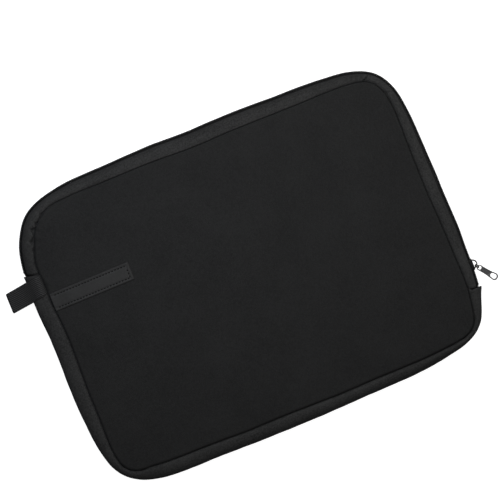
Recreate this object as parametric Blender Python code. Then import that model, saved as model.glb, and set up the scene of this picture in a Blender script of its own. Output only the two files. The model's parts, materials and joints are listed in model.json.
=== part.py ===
"""Padded laptop sleeve with a zip round three sides, a webbing hang loop and a sewn label patch.

The sleeve lies on its back: X runs along the long side, +Y points to the zipped top edge and
+Z out of the front panel. The origin is the centre of the flat back panel. The front panel is
modelled in two halves that meet on the fold line across which the sewn panel bends when the
mouth is opened. Sizes are in millimetres and become metres when a mesh is made.
"""
import math

import bmesh
import bpy
from mathutils import Matrix, Vector

MM = 0.001

# Driving dimensions of the sleeve
LENGTH = 390.0            # long side, outside
WIDTH = 292.0             # short side, outside
THICKNESS = 28.0          # back face to front face
OUTLINE_POWER = 6.0       # superellipse exponent that rounds the corners and bows the sides
SEAM_INSET = 14.0         # panel seam, in from the outline
CLEARANCE = 0.3           # gap between neighbouring pieces

# Laminate of each padded panel, outside to inside
SHELL = 1.0
FOAM = 2.2
LINING = 0.7

# Gusset, zip and bindings
GUSSET_WALL = 2.5
ZIP_GUSSET_REACH = 11.3   # how far the zip gusset bulges out of the seam
ZIP_GUSSET_END = 66.0     # degrees round the rim at which it meets the zip
TAPE_WALL = 0.8
TAPE_INSET = 3.3          # middle of the tape, in from the outline
TAPE_EDGE = 0.5           # tape's free edge above mid-thickness
COIL_RADIUS = 1.15
COIL_INSET = 1.45
COIL_HEIGHT = 1.55        # coil's middle above mid-thickness
BINDING_WIDTH = 5.0
BINDING_WALL = 2.4

# Where the zip ends, as Y on the two short sides, and the fold line between them
ZIP_LEFT_Y = 78.0
ZIP_RIGHT_Y = -93.0
FOLD_LEFT_Y = 78.0
FOLD_RIGHT_Y = -8.0
STOP_LENGTH = 2.5

# Hang loop of folded webbing on the left side
LOOP_Y = 64.0             # where it leaves the seam
LOOP_SLOPE = 0.121        # fall in Y for each millimetre outward
LOOP_WIDTH = 19.2
LOOP_WALL = 1.6
LOOP_REACH = 19.3         # middle of the turned tip, beyond the outline
LOOP_TURN = 1.9           # radius of the turned tip

# Label patch
PATCH_LEFT, PATCH_RIGHT = -178.0, -100.0
PATCH_LOW, PATCH_HIGH = 36.3, 54.2
PATCH_WALL = 1.0
STITCH_INSET = 3.0
STITCH_WIDTH = 0.8
STITCH_WALL = 0.3

# Slider; outward places are measured from the bridge's centre, which stands proud of the outline
BRIDGE_PROUD = 1.1
SLIDER_FACE = -0.6        # inner side of the outer plate
SLIDER_LIP = -3.4         # edge of the outer plate's flanges
SLIDER_BEHIND = -5.5      # outer side of the rear plate
SLIDER_Y = -70.8
SLIDER_LENGTH = 11.0
SLIDER_HALF_HEIGHT = 4.0
SLIDER_WALL = 1.2
SLIDER_LIP_WALL = 0.7
SLIDER_WEB = 0.15         # half the wall that joins the two plates
SLIDER_BACK_HALF_HEIGHT = 2.4
BRIDGE_RADIUS = 3.4
BRIDGE_WALL = 1.0
BRIDGE_HEIGHT = 1.6

# Link and pull
LINK_WIRE = 0.5           # radius
LINK_HALF_HEIGHT = 2.4
LINK_NEAR, LINK_FAR = 2.1, 6.1   # from the bridge's centre
PULL_DIRECTION = -52.0    # degrees in the XY plane
PULL_PIVOT = 5.4          # from the bridge's centre
PULL_DROOP = 30.0         # degrees below level
PULL_WALL = 1.2
PULL_START, PULL_END = 1.5, 21.5             # middles of its rounded ends, from its pivot
PULL_START_RADIUS, PULL_END_RADIUS = 2.7, 3.3

HALF_L, HALF_W, MID = LENGTH / 2, WIDTH / 2, THICKNESS / 2


# ---------------------------------------------------------------- outline

def outline_point(angle):
    """Point of the outline at a polar angle."""
    c, s = math.cos(angle), math.sin(angle)
    power = abs(c / HALF_L) ** OUTLINE_POWER + abs(s / HALF_W) ** OUTLINE_POWER
    return Vector((c, s, 0.0)) * power ** (-1 / OUTLINE_POWER)


def inward(point):
    """Unit normal of the outline at one of its points, towards the middle."""
    gx = math.copysign(abs(point.x / HALF_L) ** (OUTLINE_POWER - 1) / HALF_L, point.x)
    gy = math.copysign(abs(point.y / HALF_W) ** (OUTLINE_POWER - 1) / HALF_W, point.y)
    return -Vector((gx, gy, 0.0)).normalized()


def side_x(y):
    """X of the right-hand side of the outline at a height y."""
    return HALF_L * (1 - abs(y / HALF_W) ** OUTLINE_POWER) ** (1 / OUTLINE_POWER)


def right_angle_at(y):
    return math.atan2(y, side_x(y))


def left_angle_at(y):
    return math.atan2(y, -side_x(y)) % (2 * math.pi)


def stations(start, end, step=50.0, turn=8.0):
    """Polar angles from start to end, closer together where the outline turns."""
    samples = 720
    angles = [start + (end - start) * i / samples for i in range(samples + 1)]
    points = [outline_point(a) for a in angles]
    cost = [0.0]
    for a, b in zip(points, points[1:]):
        bend = math.degrees(inward(a).angle(inward(b)))
        cost.append(cost[-1] + (b - a).length / step + bend / turn)
    count = max(1, math.ceil(cost[-1]))
    chosen, k = [], 0
    for i in range(count + 1):
        while k < samples and cost[k] < cost[-1] * i / count - 1e-9:
            k += 1
        chosen.append(angles[k])
    return chosen


# ---------------------------------------------------------------- meshes and objects

def material(name, colour, roughness, metallic=0.0):
    mat = bpy.data.materials.new(name)
    mat.use_nodes = True
    shader = mat.node_tree.nodes["Principled BSDF"]
    shader.inputs["Base Color"].default_value = (*colour, 1.0)
    shader.inputs["Roughness"].default_value = roughness
    shader.inputs["Metallic"].default_value = metallic
    mat.diffuse_color = (*colour, 1.0)
    return mat


def add_object(name, bm, mat, matrix=None, parent=None, smooth=None):
    """Object from a mesh in millimetres, closed and facing out."""
    bmesh.ops.recalc_face_normals(bm, faces=bm.faces)
    bmesh.ops.scale(bm, vec=(MM, MM, MM), verts=bm.verts)
    mesh = bpy.data.meshes.new(name)
    bm.to_mesh(mesh)
    bm.free()
    if smooth:
        mesh.shade_smooth()
        mesh.set_sharp_from_angle(angle=math.radians(smooth))
    mesh.materials.append(mat)
    obj = bpy.data.objects.new(name, mesh)
    bpy.context.collection.objects.link(obj)
    obj.matrix_world = matrix or Matrix.Identity(4)
    if parent:
        obj.parent = parent
        obj.matrix_parent_inverse = Matrix.Translation(parent.location).inverted()
    return obj


def add_axis(name, point, parent=None):
    """Empty on a joint's axis."""
    empty = bpy.data.objects.new(name, None)
    empty.empty_display_size = 0.02
    empty.location = Vector(point) * MM
    bpy.context.collection.objects.link(empty)
    if parent:
        empty.parent = parent
        empty.matrix_parent_inverse = Matrix.Translation(parent.location).inverted()
        empty.location = Vector(point) * MM
    return empty


def skin_rings(rings, closed=False):
    """Skin between equal rings of points, capped unless the rings run round a loop."""
    bm = bmesh.new()
    grid = [[bm.verts.new(p) for p in ring] for ring in rings]
    pairs = list(zip(grid, grid[1:]))
    if closed:
        pairs.append((grid[-1], grid[0]))
    for low, high in pairs:
        for i in range(len(low)):
            j = (i + 1) % len(low)
            bm.faces.new((low[i], low[j], high[j], high[i]))
    if not closed:
        bm.faces.new(reversed(grid[0]))
        bm.faces.new(grid[-1])
    return bm


def sweep(section, start, end):
    """A section of (inset, z) points swept along the outline."""
    closed = abs(end - start) > 2 * math.pi - 1e-6
    angles = stations(start, end)
    if closed:
        angles.pop()
    rings = []
    for angle in angles:
        point = outline_point(angle)
        normal = inward(point)
        rings.append([point + normal * d + Vector((0, 0, z)) for d, z in section])
    return skin_rings(rings, closed)


def slab(inset, low, high):
    """A panel layer: the outline set in by inset, between two heights."""
    rings = []
    angles = stations(0.0, 2 * math.pi)[:-1]
    for z in (low, high):
        ring = [outline_point(a) for a in angles]
        rings.append([p + inward(p) * inset + Vector((0, 0, z)) for p in ring])
    return skin_rings(rings)


def prism(points, axis, low, high):
    """A polygon of points, moved from low to high along an axis."""
    return skin_rings([[Vector(p) + axis * h for p in points] for h in (low, high)])


def plate(outer, holes, wall):
    """Flat plate in the XY plane with an outer loop and holes, centred on z = 0."""
    bm = bmesh.new()
    for loop in [outer] + holes:
        verts = [bm.verts.new((x, y, -wall / 2)) for x, y in loop]
        for a, b in zip(verts, verts[1:] + verts[:1]):
            bm.edges.new((a, b))
    bmesh.ops.triangle_fill(bm, use_beauty=True, edges=bm.edges)
    up = bmesh.ops.extrude_face_region(bm, geom=bm.faces[:], use_keep_orig=True)
    top = [v for v in up["geom"] if isinstance(v, bmesh.types.BMVert)]
    bmesh.ops.translate(bm, verts=top, vec=(0, 0, wall))
    return bm


def keep_side(bm, side):
    """Keep the part of a closed mesh on one side of the fold line (+1 is the mouth side)."""
    point = FOLD_POINT + FOLD_NORMAL * side * CLEARANCE / 2
    geometry = bm.verts[:] + bm.edges[:] + bm.faces[:]
    bmesh.ops.bisect_plane(bm, geom=geometry, dist=1e-6, plane_co=point,
                           plane_no=FOLD_NORMAL * side, clear_inner=True)
    rim = [e for e in bm.edges if e.is_boundary]
    bmesh.ops.holes_fill(bm, edges=rim, sides=0)
    return bm


def turn_over(section):
    """The same section on the back half of the rim."""
    return [(d, THICKNESS - z) for d, z in section]


def ribbon(line, wall):
    """Closed section of a strip of even thickness along a line of (inset, z) points."""
    points = [Vector(p) for p in line]
    left, right = [], []
    for i, p in enumerate(points):
        before = (p - points[i - 1]).normalized() if i else None
        after = (points[i + 1] - p).normalized() if i < len(points) - 1 else None
        along = ((before or after) + (after or before)).normalized()
        side = Vector((-along.y, along.x))
        mitre = side.dot(Vector((-(after or before).y, (after or before).x)))
        left.append(p + side * wall / 2 / mitre)
        right.append(p - side * wall / 2 / mitre)
    return [tuple(p) for p in left + right[::-1]]


def rim_arc(reach, height, start, end, count):
    """Points round the rim in degrees from the front seam: 90 is the outermost point."""
    arc = []
    for i in range(count + 1):
        a = math.radians(start + (end - start) * i / count)
        arc.append((SEAM_INSET - reach * math.sin(a), MID + height * math.cos(a)))
    return arc


# ---------------------------------------------------------------- sections

FOLD_ALONG = Vector((LENGTH, FOLD_RIGHT_Y - FOLD_LEFT_Y, 0.0)).normalized()
FOLD_NORMAL = Vector((-FOLD_ALONG.y, FOLD_ALONG.x, 0.0))
FOLD_POINT = Vector((0.0, (FOLD_LEFT_Y + FOLD_RIGHT_Y) / 2, THICKNESS))

FULL_TURN = 2 * math.pi
ZIP_START = right_angle_at(ZIP_RIGHT_Y)
ZIP_END = left_angle_at(ZIP_LEFT_Y)
SEAM_GAP = 0.3 / HALF_L      # half the gap where two gussets meet, as an angle


def zip_gusset_section():
    inner_reach = ZIP_GUSSET_REACH - GUSSET_WALL
    outer = rim_arc(ZIP_GUSSET_REACH, MID, 0.0, ZIP_GUSSET_END, 5)
    inner = rim_arc(inner_reach, MID - GUSSET_WALL, 0.0, ZIP_GUSSET_END, 5)
    return outer + inner[::-1]


def base_gusset_section():
    inner = MID - GUSSET_WALL
    return rim_arc(MID, MID, 0.0, 180.0, 12) + rim_arc(inner, inner, 0.0, 180.0, 12)[::-1]


def tape_section():
    line = [(TAPE_INSET, MID + TAPE_EDGE), (TAPE_INSET, MID + 3.0), (6.6, MID + 3.7), (8.2, MID + 7.5)]
    return ribbon(line, TAPE_WALL)


def coil_section():
    sides = 6
    return [(COIL_INSET + COIL_RADIUS * math.cos(math.tau * i / sides),
             MID + COIL_HEIGHT + COIL_RADIUS * math.sin(math.tau * i / sides)) for i in range(sides)]


def binding_section():
    """Tape folded over the seam allowances, standing in from the panel's lining."""
    inner = SEAM_INSET + 0.6
    high = THICKNESS - SHELL - FOAM - LINING - 3 * CLEARANCE
    return [(inner, high), (inner + BINDING_WALL, high),
            (inner + BINDING_WALL, high - BINDING_WIDTH), (inner, high - BINDING_WIDTH)]


# ---------------------------------------------------------------- fabric pieces

def panel_layers():
    """Name, inset and height span below the outer face for each layer of a panel."""
    shell_depth = SHELL
    foam_top = shell_depth + CLEARANCE
    lining_top = foam_top + FOAM + CLEARANCE
    edge = SEAM_INSET + CLEARANCE
    return (("shell", edge, 0.0, shell_depth), ("foam", edge + 0.6, foam_top, foam_top + FOAM),
            ("lining", edge + 1.2, lining_top, lining_top + LINING))


def build_panels(mats, mouth):
    for layer, inset, top, bottom in panel_layers():
        add_object("back_" + layer, slab(inset, top, bottom), mats[layer])
        for half, side, parent in (("base", -1, None), ("flap", 1, mouth)):
            bm = keep_side(slab(inset, THICKNESS - bottom, THICKNESS - top), side)
            add_object("front_%s_%s" % (layer, half), bm, mats[layer], parent=parent)


def build_gussets(mats, mouth):
    start, end = ZIP_END + SEAM_GAP, ZIP_START + FULL_TURN - SEAM_GAP
    rising = left_angle_at(ZIP_LEFT_Y + 6.0)
    base = keep_side(sweep(base_gusset_section(), rising, end), -1)
    add_object("base_gusset", base, mats["gusset"], smooth=40)
    back = sweep(turn_over(zip_gusset_section()), ZIP_START + SEAM_GAP, start - 3 * SEAM_GAP)
    add_object("back_zip_gusset", back, mats["gusset"], smooth=40)
    split_front("zip_gusset", zip_gusset_section(), mats["gusset"], mouth)


def split_front(name, section, mat, mouth):
    """A front strip along the zip: the flap's length, and the closed end at the right."""
    beyond = left_angle_at(ZIP_LEFT_Y - 8.0)
    flap = keep_side(sweep(section, ZIP_START, beyond), 1)
    add_object("front_%s_flap" % name, flap, mat, parent=mouth, smooth=40)
    closed = sweep(section, ZIP_START + SEAM_GAP, right_angle_at(FOLD_RIGHT_Y + 8.0))
    add_object("front_%s_end" % name, keep_side(closed, -1), mat, smooth=40)


def build_zip(mats, mouth):
    for name, section in (("zip_tape", tape_section()), ("zip_coil", coil_section())):
        mat = mats[name]
        back = sweep(turn_over(section), ZIP_START + SEAM_GAP, ZIP_END - SEAM_GAP)
        add_object("back_" + name, back, mat, smooth=40)
        split_front(name, section, mat, mouth)


def build_stops(mats, mouth):
    """The clamp at the zip's closed end and one clip on each tape at its open end."""
    outer, wall = -0.3, 0.6
    top = MID + COIL_HEIGHT + COIL_RADIUS + CLEARANCE
    low = THICKNESS - top
    clamp = [(outer - wall, low - wall), (2.4, low - wall), (2.4, low), (outer, low),
             (outer, top), (2.4, top), (2.4, top + wall), (outer - wall, top + wall)]
    first = ZIP_RIGHT_Y + 2.0
    bm = sweep(clamp, right_angle_at(first), right_angle_at(first + STOP_LENGTH))
    add_object("zip_end_clamp", bm, mats["metal"])
    clip = [(outer - wall, MID + 0.4), (outer, MID + 0.4), (outer, top),
            (2.4, top), (2.4, top + wall), (outer - wall, top + wall)]
    high = ZIP_LEFT_Y + 2.0
    span = left_angle_at(high + STOP_LENGTH), left_angle_at(high)
    add_object("front_zip_stop", sweep(clip, *span), mats["metal"], parent=mouth)
    add_object("back_zip_stop", sweep(turn_over(clip), *span), mats["metal"])


def build_bindings(mats, mouth):
    section = binding_section()
    add_object("back_seam_binding", sweep(turn_over(section), 0.0, FULL_TURN), mats["binding"])
    for half, side, parent in (("base", -1, None), ("flap", 1, mouth)):
        bm = keep_side(sweep(section, 0.0, FULL_TURN), side)
        add_object("front_seam_binding_" + half, bm, mats["binding"], parent=parent)


def build_hang_loop(mats):
    """Webbing that leaves the front seam, turns round the tip and comes back under the rim."""
    radius = MID + CLEARANCE + LOOP_WALL / 2
    upper = rim_arc(radius, radius, 2.0, 50.0, 5)
    upper += [(-6.0, MID + 5.2), (-13.0, MID + 2.9)]
    tip = []
    for i in range(9):
        a = math.radians(90.0 + 22.5 * i)
        tip.append((-LOOP_REACH + LOOP_TURN * math.cos(a), MID + LOOP_TURN * math.sin(a)))
    lower = [(-13.0, MID - 2.9), (-6.0, MID - 5.2)] + rim_arc(radius, radius, 130.0, 148.0, 2)
    section = ribbon(upper + tip + lower, LOOP_WALL)
    points = [(d - HALF_L, LOOP_Y - LOOP_SLOPE * (SEAM_INSET - d), z) for d, z in section]
    bm = prism(points, Vector((0, 1, 0)), -LOOP_WIDTH / 2, LOOP_WIDTH / 2)
    add_object("hang_loop", bm, mats["webbing"], smooth=40)


def build_label(mats):
    low = THICKNESS + CLEARANCE
    middle_z = low + PATCH_WALL / 2
    corners = rounded_end(PATCH_LEFT, PATCH_RIGHT, PATCH_LOW, PATCH_HIGH, 1.5)
    place = Matrix.Translation(Vector((0, 0, middle_z)) * MM)
    add_object("label_patch", plate(corners, [], PATCH_WALL), mats["patch"], matrix=place)
    outer = rounded_end(PATCH_LEFT + 1.0, PATCH_RIGHT - STITCH_INSET, PATCH_LOW + STITCH_INSET,
                        PATCH_HIGH - STITCH_INSET, 1.2)
    inner = rounded_end(PATCH_LEFT + 1.0, PATCH_RIGHT - STITCH_INSET - STITCH_WIDTH,
                        PATCH_LOW + STITCH_INSET + STITCH_WIDTH,
                        PATCH_HIGH - STITCH_INSET - STITCH_WIDTH, 0.6)
    thread_z = low + PATCH_WALL + CLEARANCE + STITCH_WALL / 2
    place = Matrix.Translation(Vector((0, 0, thread_z)) * MM)
    add_object("label_stitching", plate(outer + inner[::-1], [], STITCH_WALL), mats["thread"],
               matrix=place)


def rounded_end(left, right, low, high, radius):
    """Rectangle whose right-hand corners are rounded, from its lower left to its upper left."""
    points = [(left, low)]
    for cx, cy, first in ((right - radius, low + radius, -90.0), (right - radius, high - radius, 0.0)):
        for i in range(4):
            a = math.radians(first + 30.0 * i)
            points.append((cx + radius * math.cos(a), cy + radius * math.sin(a)))
    return points + [(left, high)]


# ---------------------------------------------------------------- slider and pull

def slider_centre():
    """The bridge's centre at the slider's rest place."""
    return Vector((side_x(SLIDER_Y) + BRIDGE_PROUD, SLIDER_Y, MID))


def slider_section():
    """Slider across the zip, as (outward, height) from the bridge's centre line."""
    face, lip, behind, web = SLIDER_FACE, SLIDER_LIP, SLIDER_BEHIND, SLIDER_WEB
    wall, half, back = SLIDER_WALL, SLIDER_HALF_HEIGHT, SLIDER_BACK_HALF_HEIGHT
    under = half - SLIDER_LIP_WALL
    return [(face + wall, -half), (face + wall, half), (lip, half), (lip, under),
            (face, under), (face, web), (behind, web), (behind, back), (behind - wall, back),
            (behind - wall, -back), (behind, -back), (behind, -web), (face, -web),
            (face, -under), (lip, -under), (lip, -half)]


def half_ring(radius, wall, height, count=10):
    """Half a flat ring in the XY plane, bulging to +X."""
    loop = []
    for r, order in ((radius + wall / 2, 1), (radius - wall / 2, -1)):
        for i in range(count + 1)[::order]:
            a = math.radians(-90.0 + 180.0 * i / count)
            loop.append((r * math.cos(a), r * math.sin(a)))
    return plate(loop, [], height)


def build_slider(mats, axis):
    centre = slider_centre()
    points = [(u, 0.0, w) for u, w in slider_section()]
    half = SLIDER_LENGTH / 2
    place = Matrix.Translation(centre * MM)
    body = add_object("slider_body", prism(points, Vector((0, 1, 0)), -half, half), mats["metal"],
                      matrix=place, parent=axis)
    bridge = add_object("bridge_shape", half_ring(BRIDGE_RADIUS, BRIDGE_WALL, BRIDGE_HEIGHT),
                        mats["metal"], matrix=place, parent=axis)
    bridge.hide_render = True
    bridge.display_type = "WIRE"
    union = body.modifiers.new("bridge", "BOOLEAN")
    union.operation = "UNION"
    union.object = bridge


def oval_ring(start, end, half_height, wire, around=16, sides=6):
    """Wire ring in the XZ plane whose straight-sided oval runs from x = start to x = end."""
    middle, reach = (start + end) / 2, (end - start) / 2
    rings = []
    for i in range(around):
        a = math.tau * i / around
        centre = Vector((middle + reach * math.cos(a), 0.0, half_height * math.sin(a)))
        out = Vector((half_height * math.cos(a), 0.0, reach * math.sin(a))).normalized()
        ring = []
        for k in range(sides):
            b = math.tau * k / sides
            ring.append(centre + out * wire * math.cos(b) + Vector((0, wire * math.sin(b), 0)))
        rings.append(ring)
    return skin_rings(rings, closed=True)


def stadium(first, last, r_first, r_last, count=8):
    """Loop round two circles on the X axis, joined by straight tangents' chords."""
    loop = []
    for cx, r, a0 in ((first, r_first, 90.0), (last, r_last, -90.0)):
        for i in range(count + 1):
            a = math.radians(a0 + 180.0 * i / count)
            loop.append((cx + r * math.cos(a), r * math.sin(a)))
    return loop


def pull_heading():
    return Matrix.Rotation(math.radians(PULL_DIRECTION), 4, "Z")


def pull_pivot():
    """Where the pull hinges on the link."""
    return slider_centre() + pull_heading() @ Vector((PULL_PIVOT, 0, 0))


def build_pull(mats, swing, lift):
    heading = pull_heading()
    link = oval_ring(LINK_NEAR, LINK_FAR, LINK_HALF_HEIGHT, LINK_WIRE)
    place = Matrix.Translation(slider_centre() * MM) @ heading
    add_object("pull_link", link, mats["metal"], place, parent=swing, smooth=60)
    droop = Matrix.Rotation(math.radians(PULL_DROOP), 4, "Y")
    outer = stadium(PULL_START, PULL_END, PULL_START_RADIUS, PULL_END_RADIUS)
    near_hole = stadium(PULL_START, PULL_START + 0.9, PULL_START_RADIUS - 1.0, 1.4, 6)
    far_hole = stadium(PULL_END - 3.3, PULL_END, 1.9, PULL_END_RADIUS - 1.0, 6)
    tab = plate(outer, [near_hole, far_hole], PULL_WALL)
    place = Matrix.Translation(pull_pivot() * MM) @ heading @ droop
    add_object("pull_tab", tab, mats["metal"], place, parent=lift, smooth=40)


def make_materials():
    return {
        "shell": material("knit_face", (0.016, 0.017, 0.018), 0.95),
        "gusset": material("gusset_fabric", (0.023, 0.024, 0.024), 0.9),
        "foam": material("foam_core", (0.05, 0.05, 0.05), 0.95),
        "lining": material("lining_knit", (0.03, 0.03, 0.032), 0.9),
        "zip_tape": material("zip_tape", (0.013, 0.013, 0.014), 0.9),
        "zip_coil": material("zip_coil", (0.01, 0.01, 0.01), 0.5),
        "binding": material("binding_tape", (0.02, 0.02, 0.02), 0.9),
        "webbing": material("webbing", (0.015, 0.015, 0.016), 0.85),
        "patch": material("patch_leather", (0.028, 0.028, 0.028), 0.5),
        "thread": material("thread", (0.02, 0.02, 0.02), 0.7),
        "metal": material("gunmetal", (0.1, 0.1, 0.1), 0.35, 1.0),
    }


def main():
    for old in list(bpy.data.objects):
        bpy.data.objects.remove(old, do_unlink=True)
    mats = make_materials()
    mouth = add_axis("mouth_fold_axis", FOLD_POINT)
    slide = add_axis("zip_slide_axis", slider_centre())
    swing = add_axis("pull_swing_axis", slider_centre(), slide)
    lift = add_axis("pull_lift_axis", pull_pivot(), swing)
    build_panels(mats, mouth)
    build_gussets(mats, mouth)
    build_zip(mats, mouth)
    build_stops(mats, mouth)
    build_bindings(mats, mouth)
    build_hang_loop(mats)
    build_label(mats)
    build_slider(mats, slide)
    build_pull(mats, swing, lift)


main()
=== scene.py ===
"""Looks of the laptop sleeve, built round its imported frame.

Lengths are in millimetres until a mesh is made, and arcs run along the outline from the middle of the
right side, anticlockwise.
"""
import json
import math

import bmesh
import bpy
import numpy as np
from mathutils import Matrix, Vector
from mathutils.kdtree import KDTree


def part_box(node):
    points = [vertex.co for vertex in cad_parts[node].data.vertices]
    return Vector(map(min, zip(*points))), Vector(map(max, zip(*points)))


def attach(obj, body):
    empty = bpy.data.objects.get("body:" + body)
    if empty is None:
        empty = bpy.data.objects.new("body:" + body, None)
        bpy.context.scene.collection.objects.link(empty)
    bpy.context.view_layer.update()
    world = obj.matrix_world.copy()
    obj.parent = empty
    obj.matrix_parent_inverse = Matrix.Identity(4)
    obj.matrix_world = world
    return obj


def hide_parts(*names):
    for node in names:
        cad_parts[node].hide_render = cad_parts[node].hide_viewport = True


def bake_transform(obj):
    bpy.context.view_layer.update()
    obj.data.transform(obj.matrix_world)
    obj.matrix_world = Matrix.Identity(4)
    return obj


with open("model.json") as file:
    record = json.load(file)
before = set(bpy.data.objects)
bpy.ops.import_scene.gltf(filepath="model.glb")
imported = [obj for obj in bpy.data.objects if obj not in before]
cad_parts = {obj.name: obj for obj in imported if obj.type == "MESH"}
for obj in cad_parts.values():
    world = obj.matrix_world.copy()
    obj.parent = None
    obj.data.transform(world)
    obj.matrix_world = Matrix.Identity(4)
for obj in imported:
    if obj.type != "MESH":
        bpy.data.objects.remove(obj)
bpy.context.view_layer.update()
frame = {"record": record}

MM = 0.001

# Sizes read from the frame
gusset_low, gusset_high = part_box("base_gusset")
HALF_L, HALF_W, THICK = -gusset_low.x / MM, -gusset_low.y / MM, gusset_high.z / MM
MID = THICK / 2
JOINTS = {joint["name"]: joint for joint in frame["record"]["behaviour"]["joints"]}

# Sizes repeated from the design
OUTLINE_POWER = 6.0
SEAM_INSET = 14.0            # of the designed seam, from which the hang loop is measured
ZIP_LEFT_Y, ZIP_RIGHT_Y = 78.0, -92.5
LOOP_Y = 64.0                # where the hang loop leaves the seam
GUSSET_WALL = 2.5

# Seam and gussets
SEAM_DEPTH, SEAM_TUCK = 3.2, 0.9     # of the groove, and of the gusset's edge below it
ROLL_WIDTH = 2.4             # over which the gusset rises out of the groove
ROLLS = (0.0, 0.3, 0.7, 1.2)         # places of its points there
SEAM_ROLL = 1.7              # where the gusset's bulge begins
PANEL_ROLL = 1.8             # how soon the panel turns down to the seam
PANEL_DROP = 3.0
STEEP_SIDE = np.array([0.43, 0.9])   # towards the zip, the panel is pulled down more sharply
SQUARENESS = 0.8             # below 1 the gusset's bulge is flatter on top and turns later
ZIP_EDGE = 2.0               # inset of the zip gusset's bulge, which leaves room for tape and coil
ZIP_HEM_ANGLE = 57.0         # degrees round the rim where it meets the tape
JOINT_TUCK = 2.5             # how far the zip gusset runs on under the base gusset's folded end
TUCK_DROP = 2.9              # how deep it goes there
GUSSET_STEP = 0.9
GATHER_PITCH = 12.5          # length of one pucker where the gusset is eased round a corner
NOTCH_DEPTH = 3.9            # of the gusset's edge between two puckers
KINK, KINK_DEPTH = 110.0, 1.6        # one notch of the gusset's edge beside the top right corner
PLEAT_OFFSET, PLEAT_DEPTH = 3.7, 2.4

# Layers of the padded panels
FACE_WALL, FOAM_WALL, LINING_WALL = 1.0, 2.2, 0.6
FOAM_EDGE = 3.4              # how far inside the seam the foam ends
PAD_THICKNESS, PAD_VOXEL, PAD_CAP, PAD_LOFT = 6.0, 5.0, 8.0, 0.45

# Zip
COIL_PITCH = 1.3
COIL_CENTRE, COIL_RADII, COIL_WIRE = (1.3, 1.5), (0.85, 1.15), 0.36
TAPE_WALL = 0.5

# Slider and pull, from the axis of pull_swing
PULL_DIRECTION = math.radians(-52.0)
PULL_DROOP = math.radians(30.0)
LINK_TURN = math.radians(24.0)
LINK_SPAN, LINK_HALF, LINK_WIRE = (2.1, 6.1), 2.4, 0.5
BRIDGE_PATH = ((-0.3, 3.85), (1.1, 3.4), (2.55, 2.35), (3.35, 0.7), (3.3, -0.9), (2.5, -2.4), (1.3, -3.2),
               (-0.3, -4.0))

# Label patch
STITCH_INSET, STITCH_LENGTH, STITCH_PITCH, THREAD_RADIUS = 3.0, 1.9, 3.0, 0.52

# Lines of the joints between the gussets: (distance from the seam, shift along the rim)
JOINT_RIGHT = ((0, 1.4), (2, -0.9), (6, -1.4), (10, -0.7), (13, 0.2))
JOINT_LEFT = ((0, 3.6), (5, 2.8), (10, 1.4), (14, 0.4))

RIM_SWELL = 0.6              # the stuffed rim stands out a little all round
# Unevenness of the soft rim and inset of the panel's seam: (arc, millimetres)
RIM_SAG = ((0, -0.7), (60, -0.2), (110, -0.8), (132, -1.3), (156, 0.3), (180, 2.0), (205, 2.3), (230, 2.0),
           (275, 0.9), (325, 1.0), (358, 0.0), (400, 0.7), (450, 0.3), (480, 0.9), (504, 2.6), (528, 1.3),
           (550, 0.0), (580, -0.3), (612, 1.0), (670, 0.0), (708, 0.7), (732, 0.2), (756, -1.9), (778, -2.5),
           (812, -1.1), (840, 0.1), (890, -0.7), (950, -0.9), (1000, 0.2), (1050, 0.6), (1080, 1.4),
           (1104, 0.4), (1116, 0.0), (1140, 1.0), (1160, 0.2), (1190, 0.1), (1215, -0.8))
SEAM_INSETS = ((0, 14.9), (50, 14.1), (84, 12.4), (100, 11.1), (118, 10.0), (134, 10.2), (156, 12.3),
               (180, 13.8), (215, 15.4), (260, 16.1), (320, 16.5), (350, 15.9), (400, 14.7), (440, 13.2),
               (466, 11.4), (486, 13.4), (504, 12.8), (518, 14.2), (540, 13.7), (565, 15.4), (590, 16.0),
               (650, 15.8), (700, 14.0), (722, 11.6), (736, 9.6), (756, 7.3), (768, 8.4), (782, 12.4),
               (805, 13.6), (870, 12.9), (930, 13.3), (975, 11.6), (1040, 10.7), (1074, 8.3), (1092, 6.7),
               (1106, 4.9), (1117, 5.3), (1129, 7.7), (1142, 9.8), (1158, 11.3), (1190, 13.0), (1225, 14.4))


# ---- outline

def outline(angles):
    """Points of the outline at polar angles, and its outward normals."""
    c, s = np.cos(angles), np.sin(angles)
    power = np.abs(c / HALF_L) ** OUTLINE_POWER + np.abs(s / HALF_W) ** OUTLINE_POWER
    points = np.stack([c, s], 1) * (power ** (-1 / OUTLINE_POWER))[:, None]
    grow = OUTLINE_POWER - 1
    gx = np.sign(points[:, 0]) * np.abs(points[:, 0] / HALF_L) ** grow / HALF_L
    gy = np.sign(points[:, 1]) * np.abs(points[:, 1] / HALF_W) ** grow / HALF_W
    normals = np.stack([gx, gy], 1)
    return points, normals / np.linalg.norm(normals, axis=1)[:, None]


TABLE_ANGLES = np.linspace(-2 * math.pi, 3 * math.pi, 10001)
TABLE_POINTS, _ = outline(TABLE_ANGLES)
TABLE_ARC = np.concatenate([[0.0], np.cumsum(np.linalg.norm(np.diff(TABLE_POINTS, axis=0), axis=1))])
TABLE_ARC -= np.interp(0.0, TABLE_ANGLES, TABLE_ARC)
PERIMETER = np.interp(2 * math.pi, TABLE_ANGLES, TABLE_ARC)


def side_x(y):
    return HALF_L * (1 - abs(y / HALF_W) ** OUTLINE_POWER) ** (1 / OUTLINE_POWER)


def arc_of(angle):
    return float(np.interp(angle, TABLE_ANGLES, TABLE_ARC))


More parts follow.
